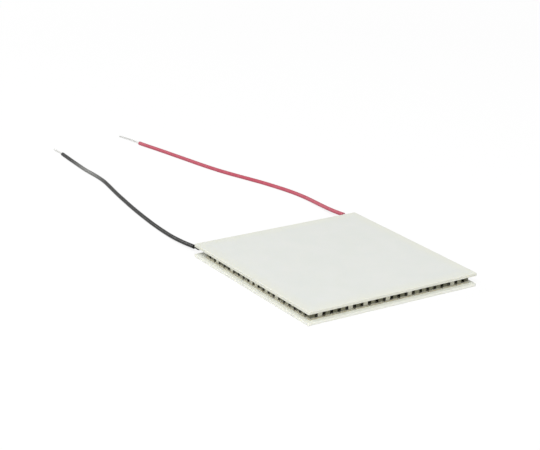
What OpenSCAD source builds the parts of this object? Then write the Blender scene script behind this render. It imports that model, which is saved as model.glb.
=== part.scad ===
// Thermoelectric cooling module: two ceramic plates with a field of bismuth telluride legs
// between them, joined in one series circuit by copper tabs, and two soldered leads.
// The module lies flat with its hot side up. The origin is at the middle of its underside,
// +Z is up, and both leads leave at the +Y edge. All sizes are in millimetres.

/* [Plates] */
// Side of the two square ceramic plates
plate_side = 55; // [46:0.5:80]
// Thickness of the lower ceramic plate, on the cold side
cold_plate_t = 0.8; // [0.5:0.05:2]
// Thickness of the upper ceramic plate, on the hot side
hot_plate_t = 0.8; // [0.5:0.05:2]
// Radius of the plates' four corners
plate_corner_r = 0.3; // [0.1:0.05:1]

/* [Legs] */
// Width of a square leg
leg_w = 1.4; // [1:0.05:1.8]
// Height of a leg between its two solder layers
leg_h = 1.4; // [1:0.05:4]
// Wanted distance from leg to leg: the true one lets an even number of legs fill the plate
leg_pitch = 2.4; // [2:0.1:4]
// Distance from the plates' edge to the outer row of legs
leg_margin = 1.6; // [1.2:0.1:3]

/* [Tabs and solder] */
// Thickness of the copper tabs
tab_t = 0.3; // [0.1:0.05:0.6]
// How far a tab reaches past its legs on every side
tab_lip = 0.2; // [0.05:0.05:0.4]
// Thickness of the solder layer between a tab and its legs
solder_t = 0.1; // [0.05:0.01:0.2]
// How far a solder layer stops short of the edge of its tab
solder_inset = 0.05; // [0:0.01:0.05]

/* [Leads] */
// Outer diameter of the leads' insulation
jacket_d = 1.2; // [1:0.05:1.4]
// Diameter of the tinned strands inside it
strands_d = 0.6; // [0.4:0.05:0.8]
// Length of the strands that is soldered to the lead tab
joint_l = 1.9; // [1:0.1:1.9]
// Thickness of the solder around the strands
joint_cover = 0.2; // [0.1:0.05:0.4]
// Distance from the middle of the lead tab to the strands, towards the plate's corner
lead_offset = 0.4; // [0:0.05:0.5]

/* [Hidden] */
// Heights of the layers, from the underside up
cold_tab_z = cold_plate_t;
cold_solder_z = cold_tab_z + tab_t;
leg_z = cold_solder_z + solder_t;
hot_solder_z = leg_z + leg_h;
hot_tab_z = hot_solder_z + solder_t;
hot_plate_z = hot_tab_z + tab_t;

// The field of legs: an even number of places, from 0 to last, along X and along Y
field = plate_side - 2 * leg_margin - leg_w;
places = 2 * round((field / leg_pitch + 1) / 2);
last = places - 1;
pitch = field / last;
tab_w = leg_w + 2 * tab_lip;

// The strands' height where they lie against the underside of the lead tab
joint_z = hot_tab_z - strands_d / 2;
// The lead tab's outer end, and the solder joint's two ends
lead_tab_end = place(last) + tab_w / 2;
joint_end = lead_tab_end - solder_inset;
joint_start = joint_end - joint_l;

// Sides of a lead, and the radius at which the flats of its rings touch the true round
sides = 8;
function ring_r(d) = d / 2 / cos(180 / sides);
corner_fn = 64;
joint_fn = 48;

// The free part of each lead, from the solder joint to its far end: outwards from the middle
// of its lead tab, out from the plates' edge, and up from where the insulation lies flat
black_free = [
    [0.5, -0.5, 1.5],
    [0.6, 0.7, 1.1],
    [0.5, 3, 1],
    [0.8, 7.5, 0.7],
    [0.9, 13.2, 0.4],
    [0.5, 19.2, 0.1],
    [0, 26.2, 0],
    [-0.7, 33.5, 0],
    [-1.6, 41, 0],
    [-2.7, 48.5, 0],
    [-3.9, 56, 0],
    [-5.3, 63.5, 0],
    [-6.1, 68.8, 0],
    [-6.3, 74.5, 0],
    [-6.2, 80.5, 0],
    [-6.5, 86.5, 0],
    [-6.9, 92.8, 0],
    [-7.3, 98.6, 0],
    [-7.3, 101.5, 0],
    [-7.2, 104.3, 0]
];
red_free = [
    [0.5, 0, 1.8],
    [0.6, 1.6, 1.8],
    [0.7, 3.2, 1.7],
    [0.8, 7.2, 1.3],
    [1.3, 12.4, 0.8],
    [1.9, 18.6, 0.4],
    [2.3, 25, 0.1],
    [1.8, 31, 0],
    [0.5, 37, 0],
    [-1.4, 43.8, 0],
    [-3.9, 51, 0],
    [-6.4, 58.4, 0],
    [-8.3, 65.8, 0],
    [-9.8, 73, 0],
    [-11.3, 80.5, 0],
    [-12.8, 87.8, 0],
    [-14.1, 93.6, 0],
    [-14.9, 97.6, 0],
    [-15.7, 102.8, 0],
    [-17, 107.7, 0]
];
// Spans of the free part that are bare, before the insulation begins and after it ends
bare_near = 2;
bare_far = 2;
// Points of a route that lie in its solder joint, and rings for each span of a route
joint_points = 2;
rings_per_span = 2;
// How far the strands run straight on past the solder joint
joint_exit = 0.1;

// Coordinate of a place in the field, the same along X and Y
function place(i) = i * pitch - field / 2;

// A place holds a leg unless it is one of the two corners where the leads are soldered
function has_leg(col, row) = row < last || (col > 0 && col < last);

// Sign of a lead's side: black leaves at the -X corner and red at the +X corner
function side_x(lead) = lead == "black" ? -1 : 1;

// The whole route of a lead: straight inside its solder joint, then along its free part
function route(lead) =
    let (s = side_x(lead), x = s * (place(last) + lead_offset))
    concat(
        [[x, joint_start, joint_z], [x, joint_end + joint_exit, joint_z]],
        [for (p = lead == "black" ? black_free : red_free)
            [s * (place(last) + p[0]), plate_side / 2 + p[1], jacket_d / 2 + p[2]]]
    );

// A route with one more point between each two, on a smooth curve that sinks into no surface
function refined(p) =
    let (n = len(p) - 1)
    [for (i = [0:n], k = [1:rings_per_span])
        if (k == 1) p[i]
        else if (i < n) lifted((9 * (p[i] + p[i + 1]) - p[max(i - 1, 0)] - p[min(i + 2, n)]) / 16)];

function lifted(v) = [v[0], v[1], max(v[2], jacket_d / 2)];

function unit(v) = v / norm(v);

// The corners of the ring around point i of a path, square to the path and with a flat below
function ring(path, i, r) =
    let (
        n = len(path) - 1,
        along = unit(path[min(i + 1, n)] - path[max(i - 1, 0)]),
        across = unit(cross(along, [0, 0, 1])),
        up = cross(across, along)
    )
    [for (k = [0:sides - 1])
        let (a = (k + 0.5) * 360 / sides)
        path[i] + r * (cos(a) * across + sin(a) * up)];

// A solid tube around the points from first to final of a path
module tube(path, first, final, d) {
    rings = final - first;
    points = [for (i = [first:final]) each ring(path, i, ring_r(d))];
    walls = [for (i = [0:rings - 1], k = [0:sides - 1], half = [0:1])
        let (a = i * sides + k, b = i * sides + (k + 1) % sides)
        half == 0 ? [a, a + sides, b + sides] : [a, b + sides, b]];
    near_end = [for (k = [0:sides - 1]) k];
    far_end = [for (k = [sides - 1:-1:0]) rings * sides + k];
    polyhedron(points, concat([near_end, far_end], walls));
}

// A square plate with round corners
module plate(t) {
    inner = plate_side - 2 * plate_corner_r;
    linear_extrude(t) {
        square([plate_side, inner], center = true);
        square([inner, plate_side], center = true);
        for (x = [-1, 1], y = [-1, 1])
            translate([x, y] * inner / 2)
                circle(r = plate_corner_r, $fn = corner_fn);
    }
}

// A flat bar over two neighbouring places, (col, row) and the next one along X or Y,
// that reaches past the legs there by lip
module bar(col, row, along_x, lip) {
    w = leg_w + 2 * lip;
    l = w + pitch;
    translate([place(col) - w / 2, place(row) - w / 2])
        square(along_x ? [l, w] : [w, l]);
}

// The bars of the cold side that run along a column
module cold_column_bars(lip) {
    for (col = [0:last], row = [1:2:last - 2])
        bar(col, row, false, lip);
}

// The bars of the cold side that lead from one column to the next, at both ends of the field
module cold_turn_bars(lip) {
    for (col = [0:2:last - 1])
        bar(col, 0, true, lip);
    for (col = [1:2:last - 2])
        bar(col, last, true, lip);
}

// The bars of the hot side, apart from the two that carry the leads
module hot_bars(lip) {
    for (col = [0:last], row = [0:2:last - 1])
        if (has_leg(col, row + 1))
            bar(col, row, false, lip);
}

module cold_side_plate() {
    color("ivory") plate(cold_plate_t);
}

module hot_side_plate() {
    color("ivory") translate([0, 0, hot_plate_z]) plate(hot_plate_t);
}

module cold_side_tabs() {
    color("tan") translate([0, 0, cold_tab_z])
        linear_extrude(tab_t) cold_column_bars(tab_lip);
}

module cold_side_turn_tabs() {
    color("tan") translate([0, 0, cold_tab_z])
        linear_extrude(tab_t) cold_turn_bars(tab_lip);
}

module hot_side_tabs() {
    color("tan") translate([0, 0, hot_tab_z])
        linear_extrude(tab_t) hot_bars(tab_lip);
}

module lead_tab(lead) {
    color("tan") translate([0, 0, hot_tab_z])
        linear_extrude(tab_t) bar(lead == "black" ? 0 : last, last - 1, false, tab_lip);
}

module cold_side_solder() {
    color("silver") translate([0, 0, cold_solder_z]) linear_extrude(solder_t) {
        cold_column_bars(tab_lip - solder_inset);
        cold_turn_bars(tab_lip - solder_inset);
    }
}

// On a lead tab the solder layer lies under the leg alone
module hot_side_solder() {
    pad = tab_w - 2 * solder_inset;
    color("silver") translate([0, 0, hot_solder_z]) linear_extrude(solder_t) {
        hot_bars(tab_lip - solder_inset);
        for (col = [0, last])
            translate([place(col), place(last - 1)]) square(pad, center = true);
    }
}

// Every second place of the field holds a leg of the same type
module legs(type) {
    translate([0, 0, leg_z]) linear_extrude(leg_h)
        for (col = [0:last], row = [0:last])
            if ((col + row) % 2 == type && has_leg(col, row))
                translate([place(col), place(row)]) square(leg_w, center = true);
}

module p_type_legs() {
    color("gray") legs(0);
}

module n_type_legs() {
    color("slategray") legs(1);
}

// Solder that has drawn up around the end of the strands, within the outline of its tab
module lead_joint(lead) {
    r = strands_d + joint_cover;
    mid = side_x(lead) * place(last);
    x = mid + side_x(lead) * lead_offset;
    color("silver") difference() {
        intersection() {
            union() {
                translate([x, joint_start + r, hot_tab_z]) rotate([-90, 0, 0])
                    cylinder(r = r, h = joint_l - r, $fn = joint_fn);
                translate([x, joint_start + r, hot_tab_z])
                    sphere(r = r, $fn = joint_fn);
            }
            translate([mid - tab_w / 2 + solder_inset, joint_start, hot_tab_z - r])
                cube([tab_w - 2 * solder_inset, joint_l, r]);
        }
        translate([x, joint_start, joint_z]) rotate([-90, 180 / sides, 0])
            cylinder(r = ring_r(strands_d), h = joint_l, $fn = sides);
    }
}

// The rings of a route at which the insulation begins and ends
function jacket_begins() = rings_per_span * (joint_points + bare_near);
function jacket_ends(path) = len(path) - 1 - rings_per_span * bare_far;

// The stripped ends of a lead: one soldered to its tab, the other free
module strands(lead) {
    path = refined(route(lead));
    color("lightgray") {
        tube(path, 0, jacket_begins(), strands_d);
        tube(path, jacket_ends(path), len(path) - 1, strands_d);
    }
}

module jacket(lead) {
    path = refined(route(lead));
    color(lead == "black" ? "dimgray" : "crimson")
        tube(path, jacket_begins(), jacket_ends(path), jacket_d);
}

cold_side_plate();
hot_side_plate();
cold_side_tabs();
cold_side_turn_tabs();
hot_side_tabs();
lead_tab("black");  // black_lead_tab
lead_tab("red");  // red_lead_tab
cold_side_solder();
hot_side_solder();
p_type_legs();
n_type_legs();
lead_joint("black");  // black_lead_joint
lead_joint("red");  // red_lead_joint
strands("black");  // black_lead_strands
strands("red");  // red_lead_strands
jacket("black");  // black_lead_jacket
jacket("red");  // red_lead_jacket
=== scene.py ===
import math
import random

import bmesh
import bpy
from mathutils import Matrix, Vector, noise


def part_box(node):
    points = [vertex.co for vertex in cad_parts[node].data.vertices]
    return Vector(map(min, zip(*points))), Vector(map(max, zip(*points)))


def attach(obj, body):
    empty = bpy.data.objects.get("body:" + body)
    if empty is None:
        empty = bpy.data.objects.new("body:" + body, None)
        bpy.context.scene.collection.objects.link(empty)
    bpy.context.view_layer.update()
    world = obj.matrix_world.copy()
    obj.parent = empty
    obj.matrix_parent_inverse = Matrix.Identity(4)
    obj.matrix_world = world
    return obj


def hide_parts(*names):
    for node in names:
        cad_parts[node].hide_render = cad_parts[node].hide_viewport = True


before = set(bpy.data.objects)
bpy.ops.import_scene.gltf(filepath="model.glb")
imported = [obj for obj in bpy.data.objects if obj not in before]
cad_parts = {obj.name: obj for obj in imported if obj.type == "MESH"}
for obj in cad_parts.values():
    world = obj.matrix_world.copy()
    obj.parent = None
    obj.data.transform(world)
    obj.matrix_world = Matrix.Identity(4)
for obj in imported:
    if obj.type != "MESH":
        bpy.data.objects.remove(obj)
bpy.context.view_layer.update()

# ---------------------------------------------------------------- sizes, in metres

MM = 0.001
PLATE_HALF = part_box("hot_side_plate")[1][0]
HOT_TAB_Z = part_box("hot_side_tabs")[0][2]
LEG_W = 1.4 * MM
LEG_PITCH = 2.4 * MM
LEG_LAST = 21
FIELD_HALF = LEG_PITCH * LEG_LAST / 2
TAB_LIP = 0.2 * MM
SOLDER_INSET = 0.05 * MM
LEG_SEED = 2382632

JACKET_D = 1.2 * MM
STRANDS_D = 0.6 * MM
LEAD_OFFSET = 0.4 * MM
JOINT_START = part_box("black_lead_joint")[0][1]
JOINT_EXIT = 0.1 * MM

# The free part of each lead, from the solder joint to its far end, as chosen in part.scad, in
# metres: outwards from the middle of its lead tab, out from the plates' edge, and up from where
# the insulation lies flat
BLACK_FREE = [
    (0.0005, -0.0005, 0.0015), (0.0006, 0.0007, 0.0011), (0.0005, 0.003, 0.001),
    (0.0008, 0.0075, 0.0007), (0.0009, 0.0132, 0.0004), (0.0005, 0.0192, 0.0001),
    (0, 0.0262, 0), (-0.0007, 0.0335, 0), (-0.0016, 0.041, 0), (-0.0027, 0.0485, 0),
    (-0.0039, 0.056, 0), (-0.0053, 0.0635, 0), (-0.0061, 0.0688, 0), (-0.0063, 0.0745, 0),
    (-0.0062, 0.0805, 0), (-0.0065, 0.0865, 0), (-0.0069, 0.0928, 0), (-0.0073, 0.0986, 0),
    (-0.0073, 0.1015, 0), (-0.0072, 0.1043, 0),
]
RED_FREE = [
    (0.0005, 0, 0.0018), (0.0006, 0.0016, 0.0018), (0.0007, 0.0032, 0.0017),
    (0.0008, 0.0072, 0.0013), (0.0013, 0.0124, 0.0008), (0.0019, 0.0186, 0.0004),
    (0.0023, 0.025, 0.0001), (0.0018, 0.031, 0), (0.0005, 0.037, 0), (-0.0014, 0.0438, 0),
    (-0.0039, 0.051, 0), (-0.0064, 0.0584, 0), (-0.0083, 0.0658, 0), (-0.0098, 0.073, 0),
    (-0.0113, 0.0805, 0), (-0.0128, 0.0878, 0), (-0.0141, 0.0936, 0), (-0.0149, 0.0976, 0),
    (-0.0157, 0.1028, 0), (-0.017, 0.1077, 0),
]
# Points of a route that lie in the solder joint, and its bare spans at both ends
JOINT_POINTS = 2
BARE_NEAR = 2
BARE_FAR = 2
# Times that the route's spans are halved for a smooth line
HALVINGS = 3

# ---------------------------------------------------------------- camera

# Lens and sensor in millimetres, angles in degrees, lengths in metres
LENS = 108.2
SENSOR = 36
CAMERA_TURN = 34.44
CAMERA_HEIGHT = 19.96
CAMERA_ROLL = 2.09
CAMERA_DISTANCE = 0.4744
CAMERA_TARGET = Vector((0.0051, 0.03853, 0.00013))


def direction(turn, height):
    """The direction, in degrees, from the module to a camera or lamp that looks at it.

    A turn of 0 is in front of the -Y side, and goes on towards the -X side.
    """
    turn = math.radians(turn)
    height = math.radians(height)
    return Vector((
        -math.sin(turn) * math.cos(height),
        -math.cos(turn) * math.cos(height),
        math.sin(height),
    ))


def add_camera():
    """The camera looks down over the front corner, along the leads that lead away."""
    back = direction(CAMERA_TURN, CAMERA_HEIGHT)
    right = Vector((0, 0, 1)).cross(back).normalized()
    up = back.cross(right)
    axes = Matrix((right, up, back)).transposed()
    data = bpy.data.cameras.new("camera")
    data.lens = LENS
    data.sensor_width = SENSOR
    data.clip_start = 0.01
    data.clip_end = 20
    camera = bpy.data.objects.new("camera", data)
    roll = Matrix.Rotation(math.radians(CAMERA_ROLL), 3, "Z")
    camera.matrix_world = (
        Matrix.Translation(CAMERA_TARGET + back * CAMERA_DISTANCE) @ (axes @ roll).to_4x4()
    )
    bpy.context.scene.collection.objects.link(camera)
    bpy.context.scene.camera = camera


add_camera()

# ---------------------------------------------------------------- node helpers


class Surface:
    """A procedural material, built from small steps on the object's own coordinates."""

    def __init__(self, name, **sockets):
        self.material = bpy.data.materials.new(name)
        self.material.use_nodes = True
        self.nodes = self.material.node_tree.nodes
        self.links = self.material.node_tree.links
        self.shader = self.nodes["Principled BSDF"]
        for key, value in sockets.items():
            self.shader.inputs[key.replace("_", " ")].default_value = value
        self.place = self.nodes.new("ShaderNodeTexCoord").outputs["Object"]

    def node(self, kind, **inputs):
        made = self.nodes.new(kind)
        for key, value in inputs.items():
            self.feed(made.inputs[key.replace("_", " ")], value)
        return made

    def feed(self, socket, value):
        if isinstance(value, bpy.types.NodeSocket):
            self.links.new(value, socket)
        else:
            socket.default_value = value

    def noise(self, size, detail=3, rough=0.5):
        """Noise from 0 to 1 whose lumps are about size across."""
        made = self.node(
            "ShaderNodeTexNoise", Vector=self.place, Scale=1 / size, Detail=detail,
            Roughness=rough,
        )
        return made.outputs["Fac"]

    def operate(self, kind, operation, values):
        made = self.nodes.new(kind)
        made.operation = operation
        for socket, value in zip(made.inputs, values):
            self.feed(socket, value)
        return made.outputs[0]

    def math(self, operation, *values):
        return self.operate("ShaderNodeMath", operation, values)

    def vector(self, operation, *values):
        return self.operate("ShaderNodeVectorMath", operation, values)

    def ramp(self, value, low, high, to_low=0.0, to_high=1.0):
        made = self.nodes.new("ShaderNodeMapRange")
        for socket, given in zip(made.inputs, (value, low, high, to_low, to_high)):
            self.feed(socket, given)
        return made.outputs[0]

    def mix(self, factor, low, high):
        made = self.nodes.new("ShaderNodeMix")
        made.data_type = "RGBA"
        for name, value in (("Factor_Float", factor), ("A_Color", low), ("B_Color", high)):
            socket = next(s for s in made.inputs if s.identifier == name)
            self.feed(socket, (*value, 1) if isinstance(value, tuple) else value)
        return next(s for s in made.outputs if s.identifier == "Result_Color")

    def colour(self, value):
        self.feed(self.shader.inputs["Base Color"], value)

    def rough(self, value):
        self.feed(self.shader.inputs["Roughness"], value)

    def bump(self, height, depth, strength):
        """Relief of the given depth, on top of any relief that is there already."""
        made = self.node("ShaderNodeBump", Height=height, Distance=depth, Strength=strength)
        socket = self.shader.inputs["Normal"]
        if socket.links:
            self.links.new(socket.links[0].from_socket, made.inputs["Normal"])
        self.links.new(made.outputs["Normal"], socket)

    def split(self, value=None):
        """X, Y and Z of a vector, or of the place on the object."""
        return self.node("ShaderNodeSeparateXYZ", Vector=value or self.place).outputs


# ---------------------------------------------------------------- materials


def alumina():
    """Fired white alumina: faint mottling, a warmer rim, and scribed and snapped edges.

    The side faces are creamier and a little darker than the top, partly their own tint and partly
    painted shade; the lower plate's side faces are painted paler, as painted light from the white
    floor close by.
    """
    s = Surface(
        "alumina", Specular_IOR_Level=0.3, Subsurface_Weight=0.3, Subsurface_Scale=0.0012
    )
    s.shader.inputs["Subsurface Radius"].default_value = (1.0, 0.95, 0.8)
    x, y, z = s.split()
    rim = s.math("MAXIMUM", s.math("ABSOLUTE", x), s.math("ABSOLUTE", y))
    rim = s.ramp(rim, PLATE_HALF - 4 * MM, PLATE_HALF - 0.2 * MM)
    mottle = s.ramp(s.noise(0.006, detail=4), 0.3, 0.7)
    body = s.mix(mottle, (0.785, 0.81, 0.765), (0.81, 0.825, 0.785))
    body = s.mix(s.math("MULTIPLY", rim, 0.8), body, (0.81, 0.82, 0.725))
    speck = s.ramp(s.noise(0.0003, detail=2), 0.66, 0.74)
    body = s.mix(s.math("MULTIPLY", speck, 0.12), body, (0.55, 0.54, 0.48))
    s.rough(s.ramp(s.noise(0.0015), 0.3, 0.7, 0.5, 0.62))
    s.bump(s.noise(0.00008, detail=2), 0.000004, 0.5)
    # Side faces: a creamier tint, partly their own and partly painted shade, and painted paler on
    # the lower plate as painted light from the white floor
    normal = s.split(s.node("ShaderNodeNewGeometry").outputs["Normal"])
    side = s.math("LESS_THAN", s.math("ABSOLUTE", normal[2]), 0.5)
    painted_light_lower_plate = s.math("LESS_THAN", z, HOT_TAB_Z / 2)
    edge = s.mix(painted_light_lower_plate, (0.72, 0.725, 0.64), (0.85, 0.855, 0.775))
    s.colour(s.mix(side, body, edge))
    along = s.math("ADD", x, y)
    scribe = s.math("SINE", s.math("MULTIPLY", along, 2 * math.pi / 0.00018))
    chips = s.noise(0.00025, detail=3)
    s.bump(s.math("MULTIPLY", side, s.math("ADD", scribe, chips)), 0.00002, 0.6)
    return s.material


def cell(s):
    """A number for each leg, the same all over the leg."""
    corner = (FIELD_HALF + LEG_PITCH / 2, FIELD_HALF + LEG_PITCH / 2, 0)
    moved = s.vector("ADD", s.place, corner)
    counted = s.vector("FLOOR", s.vector("MULTIPLY", moved, (1 / LEG_PITCH, 1 / LEG_PITCH, 0)))
    seeded = s.vector("ADD", counted, (0, 0, LEG_SEED))
    return s.node("ShaderNodeTexWhiteNoise", Vector=seeded).outputs["Value"]


def telluride(name, dark, light):
    """Sawn bismuth telluride: each leg has its own grey, a few legs are painted pale as a painted
    glint, and all are crossed by fine saw marks.
    """
    s = Surface(name, Metallic=0.9, Specular_IOR_Level=0.5)
    leg = cell(s)
    # A few legs at random are painted pale: a painted glint, standing in for legs that catch the
    # light
    painted_glint = s.ramp(leg, 0.66, 0.80)
    grain = s.ramp(s.noise(0.0004, detail=5, rough=0.65), 0.3, 0.7)
    body = s.mix(s.ramp(leg, 0, 0.66), dark, light)
    body = s.mix(painted_glint, body, (0.66, 0.65, 0.55))
    s.colour(s.mix(s.math("MULTIPLY", grain, 0.4), body, tuple(c * 0.6 for c in dark)))
    s.rough(s.ramp(grain, 0, 1, 0.30, 0.50))
    x, y, z = s.split()
    saw = s.math("SINE", s.math("MULTIPLY", z, 2 * math.pi / 0.00009))
    s.bump(s.math("ADD", s.math("MULTIPLY", saw, 0.3), s.noise(0.00015)), 0.000012, 0.7)
    return s.material


def tinned_copper():
    """Copper tabs dulled by tinning, with copper showing through in places."""
    s = Surface("tinned_copper", Metallic=0.75)
    wash = s.ramp(s.noise(0.0008, detail=4), 0.35, 0.65)
    s.colour(s.mix(wash, (0.56, 0.545, 0.44), (0.48, 0.43, 0.31)))
    s.rough(s.ramp(s.noise(0.0003), 0.3, 0.7, 0.38, 0.6))
    s.bump(s.noise(0.00012, detail=3), 0.000008, 0.6)
    return s.material


def solder(name, metallic, dark, light):
    """Dull solder with a frosty grain."""
    s = Surface(name, Metallic=metallic)
    frost = s.ramp(s.noise(0.0005, detail=5, rough=0.6), 0.3, 0.7)
    s.colour(s.mix(frost, dark, light))
    s.rough(s.ramp(frost, 0, 1, 0.32, 0.55))
    s.bump(s.noise(0.00025, detail=4), 0.00002, 0.7)
    return s.material


# Middle and half length of the painted shade on the black lead's bare strands, out from the plates
PAINTED_SHADE_OUT = 2 * MM
PAINTED_SHADE_REACH = 3 * MM


def tinned_strands():
    """Tinned copper strands: bright, with dull drawn streaks, and painted dark on the black lead
    just out from the plates, as painted shade.
    """
    s = Surface("tinned_strands", Metallic=0.5)
    streak = s.ramp(s.noise(0.0002, detail=3), 0.35, 0.65)
    tinned = s.mix(streak, (0.62, 0.62, 0.60), (0.76, 0.76, 0.74))
    x, y, z = s.split()
    # The black lead's strands just out from the plates are painted near black: painted shade
    near = s.math("COMPARE", y, PLATE_HALF + PAINTED_SHADE_OUT, PAINTED_SHADE_REACH)
    painted_shade = s.math("MULTIPLY", near, s.math("LESS_THAN", x, 0))
    s.colour(s.mix(painted_shade, tinned, (0.05, 0.048, 0.042)))
    s.rough(s.ramp(streak, 0, 1, 0.55, 0.42))
    s.bump(s.noise(0.00006), 0.000004, 0.5)
    return s.material


def insulation(name, body, worn, sheen_rough, sheen, painted_sheen_at=None, painted_sheen_colour=None):
    """Soft extruded insulation: satin, with faint scuffs and a slightly wavy skin.

    A stretch around the given distance from the plates' edge is painted paler: a painted sheen,
    where the lead turns to catch the light.
    """
    s = Surface(name, Specular_IOR_Level=sheen)
    scuff = s.ramp(s.noise(0.0016, detail=5, rough=0.6), 0.5, 0.78)
    skin = s.mix(s.math("MULTIPLY", scuff, 0.5), body, worn)
    # Painted sheen: a paler colour over about 13 mm either side of that distance from the plates
    if painted_sheen_at:
        x, y, z = s.split()
        away = s.math("ABSOLUTE", s.math("SUBTRACT", y, PLATE_HALF + painted_sheen_at))
        skin = s.mix(s.ramp(away, 13 * MM, 1 * MM), skin, painted_sheen_colour)
    s.colour(skin)
    s.rough(s.ramp(s.noise(0.0009, detail=3), 0.3, 0.7, sheen_rough - 0.06, sheen_rough + 0.08))
    s.bump(s.noise(0.0011, detail=2), 0.00002, 0.5)
    s.bump(s.noise(0.00012, detail=2), 0.000005, 0.5)
    return s.material


ALUMINA = alumina()
TINNED_COPPER = tinned_copper()
SOLDER = solder("reflowed_solder", 0.8, (0.36, 0.355, 0.31), (0.52, 0.515, 0.46))
# The lead joints' solder is a paler, less metallic copy of the solder: painted light, for light
# that comes in under the plates at the corners
JOINT_SOLDER_PAINTED_LIGHT = solder("lead_joint_solder_painted_light", 0.35, (0.66, 0.655, 0.60), (0.80, 0.795, 0.74))
P_TELLURIDE = telluride("p_type_telluride", (0.12, 0.118, 0.08), (0.30, 0.295, 0.215))
N_TELLURIDE = telluride("n_type_telluride", (0.10, 0.098, 0.066), (0.24, 0.235, 0.17))
STRANDS = tinned_strands()
# The black lead's painted sheen sits 78 mm out from the plates, where it turns towards the light
BLACK_SKIN = insulation(
    "black_insulation", (0.012, 0.012, 0.011), (0.05, 0.05, 0.047), 0.30, 0.22,
    painted_sheen_at=78 * MM, painted_sheen_colour=(0.20, 0.20, 0.19),
)
RED_SKIN = insulation("red_insulation", (0.47, 0.075, 0.115), (0.58, 0.16, 0.20), 0.42, 0.35)

# ---------------------------------------------------------------- mesh helpers


def finished(name, mesh, material, node):
    """A shown piece that stands for a CAD node and rides with the module."""
    mesh.materials.clear()
    mesh.materials.append(material)
    piece = bpy.data.objects.new(name, mesh)
    bpy.context.scene.collection.objects.link(piece)
    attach(piece, "root")
    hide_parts(node)
    return piece


def softened(node, name, material, width, segments=2):
    """The CAD node's own form with its sharp edges broken by a small round."""
    mesh = bpy.data.objects[node].data.copy()
    bm = bmesh.new()
    bm.from_mesh(mesh)
    bmesh.ops.remove_doubles(bm, verts=bm.verts, dist=1e-7)
    bmesh.ops.dissolve_limit(bm, angle_limit=0.001, verts=bm.verts, edges=bm.edges)
    sharp = [e for e in bm.edges if len(e.link_faces) == 2 and e.calc_face_angle() > 0.6]
    rounds = bmesh.ops.bevel(
        bm, geom=sharp, offset=width, segments=segments, profile=0.5, affect="EDGES",
        clamp_overlap=True,
    )
    for face in rounds["faces"]:
        face.smooth = True
    bm.to_mesh(mesh)
    bm.free()
    return finished(name, mesh, material, node)


def place(i):
    """Coordinate of a place in the field of legs, the same along X and Y."""
    return i * LEG_PITCH - FIELD_HALF


def halved(points, lowest):
    """The points with one more between each two, on a smooth curve no lower than lowest."""
    last = len(points) - 1
    out = []
    for i, p in enumerate(points):
        out.append(p)
        if i < last:
            mid = (9 * (p + points[i + 1]) - points[max(i - 1, 0)] - points[min(i + 2, last)])
            mid = mid / 16
            mid.z = max(mid.z, lowest)
            out.append(mid)
    return out


def lead_path(free, side):
    """The lead's smooth centreline, and where on it the insulation begins and ends."""
    joint_x = side * (FIELD_HALF + LEAD_OFFSET)
    joint_z = HOT_TAB_Z - STRANDS_D / 2
    lead_tab_end = FIELD_HALF + LEG_W / 2 + TAB_LIP
    path = [
        Vector((joint_x, JOINT_START, joint_z)),
        Vector((joint_x, lead_tab_end - SOLDER_INSET + JOINT_EXIT, joint_z)),
    ]
    for out, away, up in free:
        path.append(Vector((side * (FIELD_HALF + out), PLATE_HALF + away, JACKET_D / 2 + up)))
    for _ in range(HALVINGS):
        path = halved(path, JACKET_D / 2)
    step = 2 ** HALVINGS
    begins = step * (JOINT_POINTS + BARE_NEAR)
    ends = len(path) - 1 - step * BARE_FAR
    return path, begins, ends


def axes_at(path, i):
    """The path's direction at point i, and two directions square to it."""
    along = (path[min(i + 1, len(path) - 1)] - path[max(i - 1, 0)]).normalized()
    across = along.cross(Vector((0, 0, 1))).normalized()
    return along, across, across.cross(along)


def add_tube(bm, rings, close_ends=True):
    """Skin a list of rings of points, each with as many points as the next."""
    made = [[bm.verts.new(p) for p in ring] for ring in rings]
    count = len(made[0])
    for a, b in zip(made, made[1:]):
        for k in range(count):
            bm.faces.new((a[k], a[(k + 1) % count], b[(k + 1) % count], b[k]))
    if close_ends:
        bm.faces.new(made[0][::-1])
        bm.faces.new(made[-1])


def ring_points(centre, across, up, radius, sides, turn=0.0):
    """Points on a circle around centre, square to the path there."""
    points = []
    for k in range(sides):
        a = turn + 2 * math.pi * k / sides
        points.append(centre + radius * (math.cos(a) * across + math.sin(a) * up))
    return points


def mesh_from(bm, name, smooth_angle=0.7):
    """A mesh of what bm holds, shaded smooth where its faces meet at a small angle."""
    bmesh.ops.recalc_face_normals(bm, faces=bm.faces)
    for face in bm.faces:
        face.smooth = True
    for edge in bm.edges:
        if len(edge.link_faces) == 2 and edge.calc_face_angle() > smooth_angle:
            edge.smooth = False
    mesh = bpy.data.meshes.new(name)
    bm.to_mesh(mesh)
    bm.free()
    return mesh


# ---------------------------------------------------------------- leads

JACKET_SIDES = 24
STRAND_SIDES = 8
# Strands around the middle one, the length of their twist, and the seed of their cut ends
STRAND_COUNT = 6
STRAND_LAY = 5.5 * MM
STRAND_SEED = 11
# The insulation's rounded rim and its bore, and how many rings deep the bore is shown
RIM_R = 0.564 * MM
BORE_R = 0.342 * MM
BORE_DEPTH = 5
# Rings along a solder joint, and points around one
JOINT_ROWS = 14
JOINT_COLUMNS = 16


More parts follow.
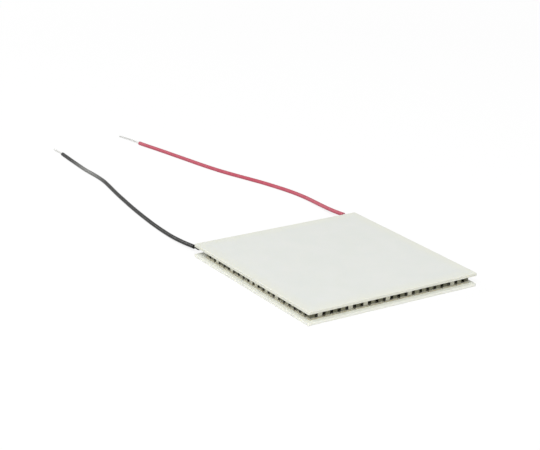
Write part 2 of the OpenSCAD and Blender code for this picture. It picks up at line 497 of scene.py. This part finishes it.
def jacket_mesh(path, begins, ends, name):
    """Insulation with a bore that the strands come out of at both ends."""
    rings = []
    for i in range(begins, ends + 1):
        along, across, up = axes_at(path, i)
        waver = noise.noise(Vector((path[i].y * 160, path[i].x * 160, 3.0)))
        radius = JACKET_D / 2 * (0.985 + 0.015 * waver)
        rings.append(ring_points(path[i], across, up, radius, JACKET_SIDES))

    def mouth(first, step):
        """Rings that turn the wall inwards and run back along the bore."""
        out = []
        for depth, radius in ((0, RIM_R), (0, BORE_R), (BORE_DEPTH, BORE_R)):
            i = first + step * depth
            along, across, up = axes_at(path, i)
            out.append(ring_points(path[i], across, up, radius, JACKET_SIDES))
        return out

    near = mouth(begins, 1)[::-1]
    far = mouth(ends, -1)
    bm = bmesh.new()
    add_tube(bm, near + rings + far)
    return mesh_from(bm, name)


def strands_mesh(path, stretches, name, rng):
    """Six strands twisted around a seventh, along each bare stretch of the path."""
    bm = bmesh.new()
    wire_r = STRANDS_D / 6 * 0.97
    for first, final in stretches:
        for strand in range(STRAND_COUNT + 1):
            phase = 2 * math.pi * strand / STRAND_COUNT
            orbit = 0 if strand == STRAND_COUNT else STRANDS_D / 3
            cut = rng.choice((0, 0, 1))
            rings = []
            run = 0.0
            for i in range(first, final + 1 - cut):
                along, across, up = axes_at(path, i)
                a = phase + 2 * math.pi * run / STRAND_LAY
                centre = path[i] + orbit * (math.cos(a) * across + math.sin(a) * up)
                rings.append(ring_points(centre, across, up, wire_r, STRAND_SIDES, a))
                if i < len(path) - 1:
                    run += (path[i + 1] - path[i]).length
            add_tube(bm, rings)
    return mesh_from(bm, name)


def joint_mesh(side, name):
    """Solder drawn up around the end of the strands, smooth and a little uneven."""
    low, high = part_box(f"{name}_joint")
    bm = bmesh.new()
    middle = (low[0] + high[0]) / 2
    rings = []
    for i in range(JOINT_ROWS + 1):
        t = i / JOINT_ROWS
        swell = math.sin(math.pi * min(0.5, 0.08 + t * 1.3)) * (1 - 0.35 * max(0, t - 0.6) / 0.4)
        y = low[1] + (high[1] - low[1]) * t
        ring = []
        for k in range(JOINT_COLUMNS + 1):
            a = math.pi * k / JOINT_COLUMNS
            bulge = 1 - 0.06 * (1 + noise.noise(Vector((t * 3, a * 1.5, side * 7.0))))
            x = middle + (high[0] - low[0]) / 2 * math.cos(a) * (0.6 + 0.4 * swell) * bulge
            z = high[2] - (high[2] - low[2]) * math.sin(a) ** 0.8 * swell * bulge
            ring.append(Vector((x, y, min(z, high[2]))))
        rings.append(ring)
    add_tube(bm, rings)
    return mesh_from(bm, name + "_solder")


def add_lead(colour, side, free, skin):
    """One lead: its strands, its insulation and its solder joint."""
    path, begins, ends = lead_path(free, side)
    rng = random.Random(STRAND_SEED + side)
    stretches = [(0, begins + BORE_DEPTH), (ends - BORE_DEPTH, len(path) - 1)]
    strands = finished(
        f"{colour}_lead_bare_strands",
        strands_mesh(path, stretches, f"{colour}_strands", rng),
        STRANDS, f"{colour}_lead_strands",
    )
    jacket = finished(
        f"{colour}_lead_insulation",
        jacket_mesh(path, begins, ends, f"{colour}_insulation"),
        skin, f"{colour}_lead_jacket",
    )
    finished(
        f"{colour}_lead_solder_joint",
        joint_mesh(side, f"{colour}_lead"),
        JOINT_SOLDER_PAINTED_LIGHT, f"{colour}_lead_joint",
    )


add_lead("black", -1, BLACK_FREE, BLACK_SKIN)
add_lead("red", 1, RED_FREE, RED_SKIN)

# ---------------------------------------------------------------- module

# Widths of the rounds on the edges
PLATE_ROUND = 0.05 * MM
TAB_ROUND = 0.04 * MM
LEG_ROUND = 0.02 * MM

softened("hot_side_plate", "hot_side_ceramic", ALUMINA, PLATE_ROUND)
softened("cold_side_plate", "cold_side_ceramic", ALUMINA, PLATE_ROUND)
for tabs in ("hot_side_tabs", "cold_side_tabs", "cold_side_turn_tabs", "black_lead_tab",
             "red_lead_tab"):
    softened(tabs, tabs + "_tinned", TINNED_COPPER, TAB_ROUND)
softened("p_type_legs", "p_type_legs_sawn", P_TELLURIDE, LEG_ROUND, 1)
softened("n_type_legs", "n_type_legs_sawn", N_TELLURIDE, LEG_ROUND, 1)


# A solder fillet around a leg: how far it stands out from the leg at the tab, at the face of the
# solder layer, partway up and at its top, those two heights, and how far it runs into the leg
FILLET_FOOT = 0.11 * MM
FILLET_FACE = 0.10 * MM
FILLET_MID = 0.03 * MM
FILLET_TOP = 0.004 * MM
FILLET_MID_H = 0.03 * MM
FILLET_H = 0.08 * MM
FILLET_INSIDE = 0.05 * MM


def has_leg(col, row):
    """Whether a place has a leg: the two corners where the leads are soldered have none."""
    return row < LEG_LAST or 0 < col < LEG_LAST


def solder_mesh(node, name, tab_side):
    """The solder layers of one side, with a fillet drawn up around the foot of every leg."""
    low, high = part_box(node)
    near, far = (low[2], high[2]) if tab_side > 0 else (high[2], low[2])
    bm = bmesh.new()
    bm.from_mesh(bpy.data.objects[node].data)
    bmesh.ops.remove_doubles(bm, verts=bm.verts, dist=1e-7)
    skirt = (
        (FILLET_FOOT, near),
        (FILLET_FACE, far),
        (FILLET_MID, far + tab_side * FILLET_MID_H),
        (FILLET_TOP, far + tab_side * FILLET_H),
        (-FILLET_INSIDE, far + tab_side * FILLET_H),
        (-FILLET_INSIDE, near),
    )
    for col in range(LEG_LAST + 1):
        for row in range(LEG_LAST + 1):
            if not has_leg(col, row):
                continue
            rings = []
            for out, z in skirt:
                wet = 1 + 0.25 * noise.noise(Vector((col * 3.7, row * 2.9, z * 9000)))
                reach = LEG_W / 2 + out * wet
                rings.append([
                    Vector((place(col) + sx * reach, place(row) + sy * reach, z))
                    for sx, sy in ((1, 1), (-1, 1), (-1, -1), (1, -1))
                ])
            add_tube(bm, rings, close_ends=False)
    return mesh_from(bm, name, 0.4)


for node, name, tab_side in (("cold_side_solder", "cold_side_solder_fillets", 1),
                             ("hot_side_solder", "hot_side_solder_fillets", -1)):
    finished(name, solder_mesh(node, name, tab_side), SOLDER, node)

# ---------------------------------------------------------------- floor and light

# The floor's own light, from the module out to where it is as white as the world
FLOOR_HALF = 4.0
FLOOR_GLOW = 0.86
FLOOR_NEAR = 0.3
FLOOR_FAR = 1.5
# How pale the floor's diffuse part is to the camera, where it adds to that light and so shows
# the shadow, and to the light that it throws back on the module
FLOOR_SHADE = 0.16
FLOOR_BOUNCE = 0.85
# The world's light on the module: to the camera it is plain white
WORLD_LIGHT = 0.33


def seen_rays(nodes, links):
    """1 for the rays that show a surface to the camera, direct, mirrored or through glass."""
    rays = nodes.new("ShaderNodeLightPath").outputs
    level = rays["Is Camera Ray"]
    for name in ("Is Glossy Ray", "Is Transmission Ray"):
        either = nodes.new("ShaderNodeMath")
        either.operation = "MAXIMUM"
        links.new(level, either.inputs[0])
        links.new(rays[name], either.inputs[1])
        level = either.outputs[0]
    return level


def add_floor():
    """A white floor that is seen as white, and still holds a faint shadow near the module."""
    mesh = bpy.data.meshes.new("floor")
    corners = [(x * FLOOR_HALF, y * FLOOR_HALF, 0) for x, y in ((-1, -1), (1, -1), (1, 1), (-1, 1))]
    mesh.from_pydata(corners, [], [(0, 1, 2, 3)])
    floor = bpy.data.objects.new("floor", mesh)
    bpy.context.scene.collection.objects.link(floor)
    material = bpy.data.materials.new("floor")
    material.use_nodes = True
    nodes = material.node_tree.nodes
    links = material.node_tree.links
    nodes.clear()
    plain = nodes.new("ShaderNodeBsdfDiffuse")
    plain.inputs["Color"].default_value = (FLOOR_BOUNCE,) * 3 + (1,)
    shaded = nodes.new("ShaderNodeBsdfDiffuse")
    shaded.inputs["Color"].default_value = (FLOOR_SHADE,) * 3 + (1,)
    glow = nodes.new("ShaderNodeEmission")
    glow.inputs["Color"].default_value = (1, 1, 1, 1)
    away = nodes.new("ShaderNodeVectorMath")
    away.operation = "LENGTH"
    links.new(nodes.new("ShaderNodeTexCoord").outputs["Object"], away.inputs[0])
    strength = nodes.new("ShaderNodeMapRange")
    links.new(away.outputs["Value"], strength.inputs["Value"])
    for name, value in (("From Min", FLOOR_NEAR), ("From Max", FLOOR_FAR),
                        ("To Min", FLOOR_GLOW), ("To Max", 1.0)):
        strength.inputs[name].default_value = value
    links.new(strength.outputs[0], glow.inputs["Strength"])
    both = nodes.new("ShaderNodeAddShader")
    links.new(shaded.outputs[0], both.inputs[0])
    links.new(glow.outputs[0], both.inputs[1])
    mix = nodes.new("ShaderNodeMixShader")
    links.new(seen_rays(nodes, links), mix.inputs["Fac"])
    links.new(plain.outputs[0], mix.inputs[1])
    links.new(both.outputs[0], mix.inputs[2])
    out = nodes.new("ShaderNodeOutputMaterial")
    links.new(mix.outputs[0], out.inputs["Surface"])
    mesh.materials.append(material)


def add_world():
    """An even light from all sides, in front of a white background."""
    world = bpy.data.worlds.new("world")
    world.use_nodes = True
    nodes = world.node_tree.nodes
    links = world.node_tree.links
    nodes.clear()
    level = nodes.new("ShaderNodeMapRange")
    links.new(seen_rays(nodes, links), level.inputs["Value"])
    level.inputs["To Min"].default_value = WORLD_LIGHT
    level.inputs["To Max"].default_value = 1.0
    sky = nodes.new("ShaderNodeBackground")
    sky.inputs["Color"].default_value = (1, 1, 1, 1)
    links.new(level.outputs[0], sky.inputs["Strength"])
    out = nodes.new("ShaderNodeOutputWorld")
    links.new(sky.outputs[0], out.inputs["Surface"])
    bpy.context.scene.world = world


def add_softbox(name, turn, height, distance, size, power):
    """A square area lamp that faces the module."""
    back = direction(turn, height)
    data = bpy.data.lights.new(name, "AREA")
    data.shape = "SQUARE"
    data.size = size
    data.energy = power
    lamp = bpy.data.objects.new(name, data)
    lamp.location = back * distance
    lamp.rotation_euler = back.to_track_quat("Z", "Y").to_euler()
    bpy.context.scene.collection.objects.link(lamp)


add_floor()
add_world()
add_softbox("key", turn=39, height=44, distance=1.5, size=0.7, power=18.2)
add_softbox("back_left", turn=150, height=26, distance=1.2, size=0.35, power=3.2)

bpy.context.scene.view_settings.view_transform = "Standard"
